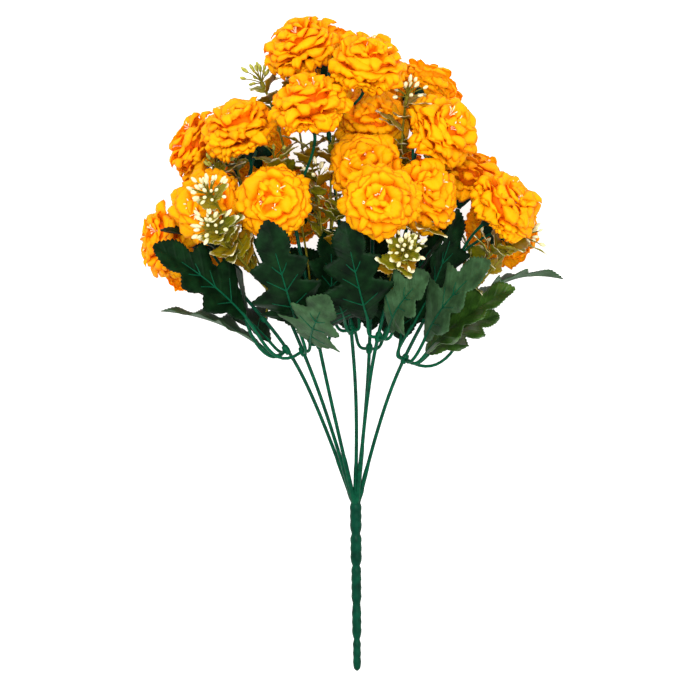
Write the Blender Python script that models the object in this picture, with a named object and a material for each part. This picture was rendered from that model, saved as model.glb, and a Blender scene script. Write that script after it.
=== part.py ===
# Bush of artificial marigolds, laid on its back on a flat surface.
# The flowers point towards +Y, the stem's tip towards -Y, and the front of the bush looks up, towards +Z.
# The origin is in the middle of the footprint, on the surface. All sizes are in metres.
import math
import random

import bmesh
import bpy
from mathutils import Matrix, Vector

# Driving dimensions
HEAD_DIAMETER = 0.047
LEAF_LENGTH = 0.080
LEAF_WIDTH = 0.046
BRANCH_RADIUS = 0.0012
STALK_RADIUS = 0.0009
SEAT_GAP = 0.0003

# Pick: the straight lower stem that gets pushed into a pot or vase
PICK_TIP = Vector((0.004, -0.2095, 0.0019))
PICK_TOP = Vector((0.003, -0.0990, 0.0250))
PICK_SIDES = 8
PICK_JOINTS = (0.021, 0.023, 0.026, 0.021, 0.021)
PICK_RADII = (0.0025, 0.0027, 0.0029, 0.0032, 0.0035)
PICK_WAIST = 0.80
PICK_SHOULDER = 0.0022

# Branches: each is rooted inside the pick, on a small ring round its axis. The stalks fork from a branch's end.
BRANCH_ROOT_DEPTH = 0.010
BRANCH_ROOT_RING = 0.0019
BRANCH_SPANS = 3
STALK_ROOT_DEPTH = 0.002
STALK_PULL = 0.30

# Head: layers of scalloped petals up a dome, as shares of the head's radius out and up. Each layer's edge
# stands out over the tuck below the next layer. A head that looks straight down lies on its own flat top.
LAYERS = (
    {"edge": (1.00, 0.12), "tuck": (0.72, 0.36), "petals": 8, "points": 2},
    {"edge": (0.97, 0.50), "tuck": (0.58, 0.66), "petals": 8, "points": 3},
    {"edge": (0.76, 0.86), "tuck": (0.34, 0.84), "petals": 6, "points": 2},
    {"edge": (0.42, 1.06), "tuck": None, "petals": 6, "points": 2},
)
HEAD_SEAT = {"radius": 0.26, "sides": 8}
HEAD_TOP_MIDDLE = 0.90
HEAD_TOP_MIDDLE_PRESSED = 1.06
PRESSED_BELOW_FACING_Z = -0.95
PETAL_NOTCH = 0.84
PETAL_RUFFLE = 0.05
HEAD_CENTRE_HEIGHT = 0.010

# Calyx: the green cup below the petals, as (radius, height) from the bottom of the petals
SEPALS = 5
CALYX_FOOT = (0.0019, -0.0120)
CALYX_WAIST = (0.0034, -0.0088)
CALYX_RIM = (0.0058, -0.0042)
SEPAL_TIP = (0.0115, -0.0020)
SEPAL_NOTCH = (0.0068, -0.0028)
CALYX_SEAT_RADIUS = 0.0058

# Leaf outline, as stations from the base to the tip: where each is along the midrib, where its edge point
# is along the leaf, and how far out that point is, as a share of the half width
LEAF_STATIONS = (
    (0.00, 0.00, 0.07),
    (0.14, 0.20, 0.40),
    (0.26, 0.42, 1.00),
    (0.38, 0.46, 0.48),
    (0.50, 0.66, 0.78),
    (0.64, 0.70, 0.42),
    (0.84, 0.90, 0.42),
    (1.00, 1.00, 0.00),
)
LEAF_THICKNESS = 0.0007
LEAF_FOLD = math.radians(14)
PETIOLE_RADIUS = 0.0009
PETIOLE_SHORTEST = 0.012
PETIOLE_SUNK = 0.003

# Collar: the ring by which a leaf whorl or a sprig sits on its branch
COLLAR_SIDES = 5
COLLAR_BORE = 0.00190
WHORL_COLLAR = {"radius": 0.0032, "length": 0.0060}
SPRIG_COLLAR = {"radius": 0.0029, "length": 0.0040}
COLLAR_WALL_SHARE = 0.35

# Sprig: filler of small leaves and buds
ARM_RADIUS = 0.0007
BUD_LENGTH = 0.0050
BUD_RADIUS = 0.0014
PEDICEL_RADIUS = 0.0005
HUB_RADIUS = 0.0013
SMALL_LEAF_LENGTH = 0.015
SMALL_LEAF_WIDTH = 0.008
SMALL_LEAF_FOLD = math.radians(11)
SMALL_LEAVES_PER_ARM = 4
SMALL_LEAF_STATIONS = (
    (0.00, 0.00, 0.20),
    (0.35, 0.40, 1.00),
    (0.65, 0.66, 0.60),
    (1.00, 1.00, 0.00),
)

# Each branch: where its leaf whorl and its fork are, its heads as (centre, facing), its leaves as
# (tip, facing, bow) and its sprig's arms as (middle of the cluster, buds)
BRANCHES = (
    {
        "whorl": (-0.034, -0.013, 0.042),
        "fork": (-0.078, 0.044, 0.050),
        "heads": (
            ((-0.117, 0.066, 0.056), (-0.93, 0.10, 0.35)),
            ((-0.090, 0.087, 0.094), (-0.40, 0.25, 0.87)),
            ((-0.100, 0.058, 0.0134), (-0.12, 0.06, -0.99)),
        ),
        "leaves": (
            ((-0.121, 0.022, 0.036), (0.30, 0.95, 0.12), 0.005),
            ((-0.119, 0.072, 0.084), (0.55, 0.81, 0.20), 0.017),
            ((-0.097, 0.035, 0.009), (0.49, 0.74, 0.46), 0.004),
        ),
        "arms": (((-0.084, 0.110, 0.072), 5),),
    },
    {
        "whorl": (-0.024, -0.019, 0.058),
        "fork": (-0.066, 0.078, 0.062),
        "heads": (
            ((-0.097, 0.127, 0.048), (-0.85, 0.50, 0.10)),
            ((-0.070, 0.136, 0.088), (-0.30, 0.84, 0.45)),
            ((-0.062, 0.126, 0.0134), (-0.06, 0.10, -0.99)),
        ),
        "leaves": (
            ((-0.052, 0.077, 0.125), (0.00, -0.02, 1.00), 0.010),
            ((-0.122, 0.062, 0.110), (0.27, 0.44, 0.86), 0.006),
            ((-0.014, 0.031, 0.119), (-0.26, -0.17, 0.95), 0.005),
        ),
        "arms": (((-0.086, 0.092, 0.128), 8), ((-0.084, 0.072, 0.122), 6)),
    },
    {
        "whorl": (-0.017, -0.014, 0.070),
        "fork": (-0.036, 0.080, 0.076),
        "heads": (
            ((-0.048, 0.089, 0.110), (-0.12, 0.10, 0.98)),
            ((-0.026, 0.151, 0.104), (-0.15, 0.84, 0.52)),
            ((-0.034, 0.090, 0.024), (-0.10, 0.15, -0.98)),
        ),
        "leaves": (
            ((-0.039, 0.046, 0.074), (-0.48, -0.14, 0.87), 0.005),
            ((-0.014, 0.073, 0.081), (0.50, -0.01, 0.87), 0.004),
            ((-0.032, 0.062, 0.046), (0.12, 0.10, 0.99), 0.005),
        ),
        "arms": (((-0.009, 0.087, 0.079), 5), ((-0.048, 0.118, 0.070), 4)),
    },
    {
        "whorl": (0.002, -0.012, 0.051),
        "fork": (-0.014, 0.134, 0.062),
        "heads": (
            ((-0.032, 0.189, 0.074), (-0.40, 0.80, 0.45)),
            ((0.011, 0.177, 0.092), (0.14, 0.78, 0.61)),
            ((-0.014, 0.182, 0.0134), (0.00, 0.12, -0.99)),
        ),
        "leaves": (
            ((-0.042, 0.061, 0.043), (0.58, -0.45, 0.68), 0.003),
            ((-0.012, 0.037, 0.092), (0.14, -0.20, 0.97), 0.005),
            ((-0.001, 0.067, 0.062), (-0.02, 0.08, 1.00), 0.004),
        ),
        "arms": (((-0.056, 0.166, 0.052), 6),),
    },
    {
        "whorl": (0.011, -0.017, 0.030),
        "fork": (0.014, 0.078, 0.044),
        "heads": (
            ((0.009, 0.112, 0.085), (-0.10, 0.25, 0.96)),
            ((0.013, 0.143, 0.055), (0.10, 0.62, 0.78)),
            ((0.022, 0.112, 0.0134), (0.05, 0.05, -1.00)),
        ),
        "leaves": (
            ((-0.019, 0.060, 0.016), (0.20, 0.10, 0.95), 0.004),
            ((0.049, 0.059, 0.016), (-0.22, 0.20, 0.95), 0.004),
            ((0.016, 0.078, 0.004), (0.01, 0.12, 0.99), 0.002),
        ),
        "arms": (((0.035, 0.156, 0.078), 6), ((0.052, 0.121, 0.049), 3)),
    },
    {
        "whorl": (0.014, -0.009, 0.068),
        "fork": (0.036, 0.078, 0.070),
        "heads": (
            ((0.018, 0.089, 0.120), (0.05, -0.10, 0.99)),
            ((0.047, 0.093, 0.092), (0.50, 0.15, 0.85)),
            ((0.059, 0.136, 0.078), (0.60, 0.35, 0.72)),
            ((0.046, 0.160, 0.028), (0.20, 0.50, -0.84)),
        ),
        "leaves": (
            ((0.048, 0.044, 0.122), (-0.36, 0.36, 0.86), 0.005),
            ((-0.004, 0.077, 0.108), (-0.09, 0.02, 1.00), 0.009),
            ((0.061, 0.074, 0.087), (-0.76, 0.50, 0.42), 0.004),
        ),
        "arms": (((0.033, 0.058, 0.118), 8),),
    },
    {
        "whorl": (0.028, -0.021, 0.047),
        "fork": (0.068, 0.056, 0.050),
        "heads": (
            ((0.098, 0.089, 0.076), (0.68, 0.57, 0.45)),
            ((0.076, 0.108, 0.040), (0.35, 0.90, 0.10)),
            ((0.096, 0.074, 0.0134), (0.12, 0.04, -0.99)),
        ),
        "leaves": (
            ((0.086, 0.052, 0.113), (-0.38, 0.48, 0.79), 0.006),
            ((0.103, 0.036, 0.075), (-0.36, 0.70, 0.61), 0.005),
            ((0.094, 0.020, 0.041), (-0.23, 0.67, 0.71), 0.005),
            ((0.136, 0.043, 0.012), (-0.37, 0.93, 0.00), 0.016),
            ((0.067, 0.086, 0.070), (0.75, -0.31, 0.59), 0.004),
            ((0.035, 0.046, 0.024), (-0.08, 0.10, 0.99), 0.004),
        ),
        "arms": (((0.108, 0.068, 0.056), 6), ((0.081, 0.061, 0.042), 2)),
    },
)

# Materials: colour, roughness
GREEN_STEM = ("stem_green", (0.004, 0.095, 0.040), 0.45)
DARK_GREEN = ("calyx_green", (0.006, 0.040, 0.020), 0.50)
LEAF_GREEN = ("leaf_green", (0.012, 0.060, 0.020), 0.60)
OLIVE = ("sprig_olive", (0.240, 0.200, 0.030), 0.50)
MARIGOLD = ("petal_marigold", (1.000, 0.400, 0.005), 0.80)


def clear_scene():
    for obj in list(bpy.data.objects):
        bpy.data.objects.remove(obj)


def material(spec):
    name, colour, roughness = spec
    made = bpy.data.materials.get(name)
    if made is None:
        made = bpy.data.materials.new(name)
        made.use_nodes = True
        shader = made.node_tree.nodes["Principled BSDF"]
        shader.inputs["Base Color"].default_value = (*colour, 1.0)
        shader.inputs["Roughness"].default_value = roughness
    return made


def add_object(name, bm, finish):
    bmesh.ops.recalc_face_normals(bm, faces=bm.faces)
    mesh = bpy.data.meshes.new(name)
    bm.to_mesh(mesh)
    bm.free()
    mesh.materials.append(material(finish))
    mesh.shade_smooth()
    mesh.set_sharp_from_angle(angle=math.radians(40))
    obj = bpy.data.objects.new(name, mesh)
    bpy.context.scene.collection.objects.link(obj)
    return obj


def fuse(name, pieces):
    """One Boolean union of all pieces, applied, under the name given."""
    first, rest = pieces[0], pieces[1:]
    group = bpy.data.collections.new(name + "_pieces")
    bpy.context.scene.collection.children.link(group)
    for piece in rest:
        bpy.context.scene.collection.objects.unlink(piece)
        group.objects.link(piece)
    union = first.modifiers.new("union", "BOOLEAN")
    union.operation = "UNION"
    union.operand_type = "COLLECTION"
    union.collection = group
    union.solver = "MANIFOLD"
    graph = bpy.context.evaluated_depsgraph_get()
    mesh = bpy.data.meshes.new_from_object(first.evaluated_get(graph))
    first.modifiers.clear()
    first.data = mesh
    for piece in rest:
        bpy.data.objects.remove(piece)
    bpy.data.collections.remove(group)
    first.name = name
    return first


# Curves and surfaces

def skin(rings, bottom=None, top=None):
    """A closed surface bridged through rings of points. An end is a flat cap, or rises to a middle point."""
    bm = bmesh.new()
    loops = []
    for ring in rings:
        verts = [bm.verts.new(point) for point in ring]
        loops.append([bm.edges.new(pair) for pair in zip(verts, verts[1:] + verts[:1])])
    for lower, upper in zip(loops, loops[1:]):
        bmesh.ops.bridge_loops(bm, edges=lower + upper)
    for loop, middle in ((loops[0], bottom), (loops[-1], top)):
        cap = bmesh.ops.edgeloop_fill(bm, edges=loop)["faces"]
        if middle is not None:
            bmesh.ops.poke(bm, faces=cap)["verts"][0].co = middle
    bmesh.ops.triangulate(bm, faces=bm.faces)
    return bm


def across(direction):
    """Two directions square to the one given and to each other."""
    hint = Vector((0, 0, 1)) if abs(direction.z) < 0.9 else Vector((1, 0, 0))
    side = direction.cross(hint).normalized()
    return side, side.cross(direction).normalized()


def circle(centre, direction, radius, sides):
    side, up = across(direction)
    turns = [2 * math.pi * i / sides for i in range(sides)]
    return [centre + (side * math.cos(a) + up * math.sin(a)) * radius for a in turns]


def tube(path, radii, sides, finish=None):
    """A closed round bar along a path, cut off square to the finish direction if that is given."""
    steps = [(b - a).normalized() for a, b in zip(path, path[1:])]
    tangents = [steps[0]]
    tangents += [(a + b).normalized() for a, b in zip(steps, steps[1:])]
    tangents.append(finish or steps[-1])
    side = across(tangents[0])[0]
    rings = []
    for point, tangent, radius in zip(path, tangents, radii):
        side = (side - tangent * side.dot(tangent)).normalized()
        up = tangent.cross(side)
        turns = [2 * math.pi * i / sides for i in range(sides)]
        rings.append([point + (side * math.cos(a) + up * math.sin(a)) * radius for a in turns])
    return skin(rings)


def bezier(start, lead, arrive, end, pieces):
    """Points along a cubic Bezier curve."""
    points = []
    for i in range(pieces + 1):
        t = i / pieces
        s = 1 - t
        points.append(s**3 * start + 3 * s * s * t * lead + 3 * s * t * t * arrive + t**3 * end)
    return points


def smooth_path(knots, pieces):
    """Points on a smooth curve that passes through every knot."""
    ends = [2 * knots[0] - knots[1], *knots, 2 * knots[-1] - knots[-2]]
    points = [knots[0]]
    for before, a, b, after in zip(ends, ends[1:], ends[2:], ends[3:]):
        lead = a + (b - before) / 6
        arrive = b - (after - a) / 6
        points += bezier(a, lead, arrive, b, pieces)[1:]
    return points


def evenly(start, end, count):
    return [start + (end - start) * i / (count - 1) for i in range(count)]


def ring_points(radius, height, count):
    """A ring round the Z axis."""
    turns = [2 * math.pi * i / count for i in range(count)]
    return [Vector((math.cos(a) * radius, math.sin(a) * radius, height)) for a in turns]


def place_on_axis(bm, base, facing, turn):
    """Stands what was modelled up the Z axis on a base point, facing the direction given."""
    place = Matrix.Translation(base) @ facing.to_track_quat("Z", "Y").to_matrix().to_4x4()
    bmesh.ops.transform(bm, matrix=place @ Matrix.Rotation(turn, 4, "Z"), verts=bm.verts)


# Where things go

def branch_path(branch):
    """Centre line of a branch: inside the pick, out of its top, past the whorl and up to the fork."""
    axis = (PICK_TOP - PICK_TIP).normalized()
    whorl = Vector(branch["whorl"])
    away = whorl - PICK_TOP
    away -= axis * away.dot(axis)
    ring = away * min(1.0, BRANCH_ROOT_RING / away.length)
    root = PICK_TOP - axis * BRANCH_ROOT_DEPTH + ring
    leave = PICK_TOP + ring
    return smooth_path([root, leave, whorl, Vector(branch["fork"])], BRANCH_SPANS)


def seat_past_whorl(branch, spans):
    """Middle and direction of a straight stretch of the branch, some spans past the whorl's point."""
    path = branch_path(branch)
    a, b = path[2 * BRANCH_SPANS + spans : 2 * BRANCH_SPANS + spans + 2]
    return (a + b) / 2, (b - a).normalized()


def head_base(head):
    """Bottom of the head's petals on its axis, and the axis."""
    centre, facing = Vector(head[0]), Vector(head[1]).normalized()
    return centre - facing * HEAD_CENTRE_HEIGHT, facing


# The pieces

def make_pick():
    axis = (PICK_TOP - PICK_TIP).normalized()
    rings = [circle(PICK_TIP, axis, PICK_RADII[0] * 0.35, PICK_SIDES)]
    at = 0.0
    for joint, radius in zip(PICK_JOINTS, PICK_RADII):
        waist = radius * (PICK_WAIST if at else 0.85)
        for along, size in (
            (at + PICK_SHOULDER * 0.5, waist),
            (at + PICK_SHOULDER * 1.8, radius),
            (at + joint - PICK_SHOULDER, radius),
        ):
            rings.append(circle(PICK_TIP + axis * along, axis, size, PICK_SIDES))
        at += joint
    return add_object("pick", skin(rings), GREEN_STEM)


def make_stem():
    """The pick, its branches and their stalks, moulded in one piece."""
    pieces = [make_pick()]
    for branch in BRANCHES:
        path = branch_path(branch)
        radii = evenly(BRANCH_RADIUS * 1.08, BRANCH_RADIUS * 0.92, len(path))
        pieces.append(add_object("branch", tube(path, radii, 5), GREEN_STEM))
        fork, onward = path[-1], (path[-1] - path[-2]).normalized()
        for head in branch["heads"]:
            base, facing = head_base(head)
            end = base + facing * (CALYX_FOOT[1] - SEAT_GAP)
            root = fork - onward * STALK_ROOT_DEPTH
            pull = (end - root).length * STALK_PULL
            stalk = bezier(root, root + onward * pull, end - facing * pull, end, 4)
            thin = [STALK_RADIUS] * 4 + [STALK_RADIUS * 1.25]
            pieces.append(add_object("stalk", tube(stalk, thin, 5, facing), GREEN_STEM))
    return fuse("stem", pieces)


def petal_edge(rng, radius, layer):
    """One scalloped edge: each petal has a notch and its ruffled points."""
    share, height = layer["edge"]
    ring = ring_points(share, height, layer["petals"] * layer["points"])
    for i, point in enumerate(ring):
        notch = i % layer["points"] == 0
        reach = PETAL_NOTCH if notch else rng.uniform(0.97, 1.03)
        lift = 0 if notch else rng.uniform(-PETAL_RUFFLE, PETAL_RUFFLE)
        point.x *= reach
        point.y *= reach
        point.z += lift
    return [point * radius for point in ring]


def make_head(number, head):
    rng = random.Random(number)
    radius = HEAD_DIAMETER / 2
    rings = [ring_points(HEAD_SEAT["radius"] * radius, 0.0, HEAD_SEAT["sides"])]
    for layer in LAYERS:
        rings.append(petal_edge(rng, radius, layer))
        if layer["tuck"]:
            share, height = layer["tuck"]
            rings.append(ring_points(share * radius, height * radius, len(rings[-1])))
    base, facing = head_base(head)
    pressed = facing.z < PRESSED_BELOW_FACING_Z
    height = HEAD_TOP_MIDDLE_PRESSED if pressed else HEAD_TOP_MIDDLE
    bm = skin(rings, top=Vector((0, 0, height * radius)))
    place_on_axis(bm, base, facing, rng.uniform(0, 2 * math.pi))
    for vert in bm.verts:
        vert.co.z = max(vert.co.z, 0.0)
    return add_object(f"flower_{number:02d}", bm, MARIGOLD)


def make_calyx(number, head):
    tips = ring_points(*SEPAL_TIP, SEPALS * 2)
    notches = ring_points(*SEPAL_NOTCH, SEPALS * 2)
    rings = [
        ring_points(*CALYX_FOOT, SEPALS),
        ring_points(*CALYX_WAIST, SEPALS),
        ring_points(*CALYX_RIM, SEPALS),
        [notches[i] if i % 2 else tips[i] for i in range(SEPALS * 2)],
        ring_points(CALYX_SEAT_RADIUS, -SEAT_GAP, SEPALS),
    ]
    bm = skin(rings)
    place_on_axis(bm, *head_base(head), 0.0)
    return add_object(f"calyx_{number:02d}", bm, DARK_GREEN)


def make_collar(middle, axis, size, finish):
    """A short ring round the branch, with a clear bore."""
    bm = bmesh.new()
    edges = []
    for radius in (COLLAR_BORE, size["radius"]):
        ring = ring_points(radius, -size["length"] / 2, COLLAR_SIDES)
        verts = [bm.verts.new(point) for point in ring]
        edges += [bm.edges.new(pair) for pair in zip(verts, verts[1:] + verts[:1])]
    bmesh.ops.bridge_loops(bm, edges=edges)
    bmesh.ops.solidify(bm, geom=bm.faces[:], thickness=size["length"])
    place_on_axis(bm, middle, axis, 0.0)
    return add_object("collar", bm, finish)


def leaf_frame(base, tip, facing, bow):
    """Midrib point, side direction and normal of a leaf at a share of its length."""
    chord = tip - base
    square = (facing - chord * facing.dot(chord) / chord.length_squared).normalized()
    control = (base + tip) / 2 + square * bow * 2

    def at(t):
        point = (1 - t) ** 2 * base + 2 * t * (1 - t) * control + t * t * tip
        along = ((1 - t) * (control - base) + t * (tip - control)).normalized()
        normal = (square - along * square.dot(along)).normalized()
        return point, along.cross(normal), normal

    return at


def blade(base, tip, facing, bow, width, fold, stations):
    """A thin arched leaf blade, folded along its midrib."""
    at = leaf_frame(base, tip, facing, bow)
    bm = bmesh.new()
    grid = bmesh.ops.create_grid(bm, x_segments=2, y_segments=len(stations) - 1, size=1.0)["verts"]
    for vert in grid:
        hand = round(vert.co.x)
        mid, out, share = stations[round((vert.co.y + 1) / 2 * (len(stations) - 1))]
        point, side, normal = at(out if hand else mid)
        half = abs(hand) * share * width / 2
        vert.co = point + (side * hand * math.cos(fold) + normal * math.sin(fold)) * half
    bmesh.ops.remove_doubles(bm, verts=bm.verts, dist=0.0001)
    bmesh.ops.triangulate(bm, faces=bm.faces)
    bmesh.ops.solidify(bm, geom=bm.faces[:], thickness=LEAF_THICKNESS)
    return bm


def leaf_base(middle, axis, tip):
    """Where a leaf's blade starts, between the branch and the leaf's tip, and the petiole's way out."""
    towards = tip - middle
    outward = (towards - axis * towards.dot(axis)).normalized()
    petiole = max(PETIOLE_SHORTEST, towards.length - LEAF_LENGTH)
    return middle + towards.normalized() * petiole + outward * PETIOLE_SHORTEST * 0.4, outward


def make_whorl(number, branch):
    middle, axis = seat_past_whorl(branch, 0)
    pieces = [make_collar(middle, axis, WHORL_COLLAR, LEAF_GREEN)]
    wall = COLLAR_BORE + (WHORL_COLLAR["radius"] - COLLAR_BORE) * COLLAR_WALL_SHARE
    for tip, facing, bow in branch["leaves"]:
        tip, facing = Vector(tip), Vector(facing).normalized()
        base, outward = leaf_base(middle, axis, tip)
        at = leaf_frame(base, tip, facing, bow)
        sunk_end = at(PETIOLE_SUNK / (tip - base).length)[0]
        along = (sunk_end - base).normalized()
        root = middle + outward * wall
        reach = (base - root).length
        loop = bezier(root, root + outward * reach * 0.55, base - along * reach * 0.45, base, 3)
        rib = tube([*loop, sunk_end], evenly(PETIOLE_RADIUS, PETIOLE_RADIUS * 0.8, 5), 4)
        pieces.append(add_object("petiole", rib, LEAF_GREEN))
        leaf = blade(base, tip, facing, bow, LEAF_WIDTH, LEAF_FOLD, LEAF_STATIONS)
        pieces.append(add_object("blade", leaf, LEAF_GREEN))
    return fuse(f"leaf_whorl_{number}", pieces)


def make_bud(start, direction, stalk):
    """A pointed bud and its pedicel, in one."""
    rings = []
    for along, radius in (
        (0.0, PEDICEL_RADIUS),
        (stalk, PEDICEL_RADIUS),
        (stalk + BUD_LENGTH * 0.45, BUD_RADIUS),
    ):
        rings.append(circle(start + direction * along, direction, radius, 3))
    return skin(rings, top=start + direction * (stalk + BUD_LENGTH))


def make_sprig(number, branch):
    rng = random.Random(100 + number)
    middle, axis = seat_past_whorl(branch, 1)
    pieces = [make_collar(middle, axis, SPRIG_COLLAR, OLIVE)]
    wall = COLLAR_BORE + (SPRIG_COLLAR["radius"] - COLLAR_BORE) * COLLAR_WALL_SHARE
    for centre, buds in branch["arms"]:
        centre = Vector(centre)
        towards = (centre - middle).normalized()
        outward = (towards - axis * towards.dot(axis)).normalized()
        root = middle + outward * wall
        reach = (centre - root).length
        lead = root + outward * reach * 0.25 + axis * reach * 0.15
        arrive = centre - towards * reach * 0.35
        path = bezier(root, lead, arrive, centre, 4)
        heading = (path[-1] - path[-2]).normalized()
        path.append(centre + heading * HUB_RADIUS)
        thick = evenly(ARM_RADIUS, ARM_RADIUS * 0.9, 4) + [HUB_RADIUS, HUB_RADIUS * 0.6]
        pieces.append(add_object("arm", tube(path, thick, 4), OLIVE))
        side, up = across(heading)
        for i in range(SMALL_LEAVES_PER_ARM):
            turn = 2 * math.pi * (i + rng.random() * 0.3) / SMALL_LEAVES_PER_ARM
            out = side * math.cos(turn) + up * math.sin(turn)
            node = path[-3] + (centre - path[-3]) * (0.05 + 0.24 * i)
            tip = node + (out + heading * 0.5).normalized() * SMALL_LEAF_LENGTH
            small = blade(
                node, tip, heading, 0.001, SMALL_LEAF_WIDTH, SMALL_LEAF_FOLD, SMALL_LEAF_STATIONS
            )
            pieces.append(add_object("small_leaf", small, OLIVE))
        for i in range(buds):
            turn = 2 * math.pi * i * 0.382
            lean = 0.2 + 1.2 * i / buds
            out = side * math.cos(turn) + up * math.sin(turn)
            direction = (heading * math.cos(lean) + out * math.sin(lean)).normalized()
            bud = make_bud(centre + direction * 0.0002, direction, rng.uniform(0.004, 0.008))
            pieces.append(add_object("bud", bud, OLIVE))
    return fuse(f"sprig_{number}", pieces)


def main():
    clear_scene()
    make_stem()
    count = 0
    for number, branch in enumerate(BRANCHES, start=1):
        make_whorl(number, branch)
        make_sprig(number, branch)
        for head in branch["heads"]:
            count += 1
            make_calyx(count, head)
            make_head(count, head)


main()
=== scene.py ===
import math
import random

import bmesh
import bpy
from mathutils import Matrix, Vector, noise


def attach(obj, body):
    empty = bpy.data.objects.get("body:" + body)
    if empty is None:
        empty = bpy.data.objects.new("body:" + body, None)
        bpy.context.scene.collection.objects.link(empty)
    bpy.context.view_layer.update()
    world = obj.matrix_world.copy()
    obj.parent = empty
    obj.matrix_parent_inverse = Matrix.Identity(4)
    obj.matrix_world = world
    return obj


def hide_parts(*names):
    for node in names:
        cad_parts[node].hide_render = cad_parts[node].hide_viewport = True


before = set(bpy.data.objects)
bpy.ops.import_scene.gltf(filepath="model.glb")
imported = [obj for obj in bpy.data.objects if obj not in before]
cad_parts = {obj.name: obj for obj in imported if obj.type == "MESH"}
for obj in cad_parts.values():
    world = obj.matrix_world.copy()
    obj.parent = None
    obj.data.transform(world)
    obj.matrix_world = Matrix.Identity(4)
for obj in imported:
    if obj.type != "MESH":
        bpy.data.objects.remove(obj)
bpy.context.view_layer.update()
noise.seed_set(5)   # vector noise otherwise starts from the clock, and the petals change from run to run
print("frame loaded,", len(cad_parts), "nodes")


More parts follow.
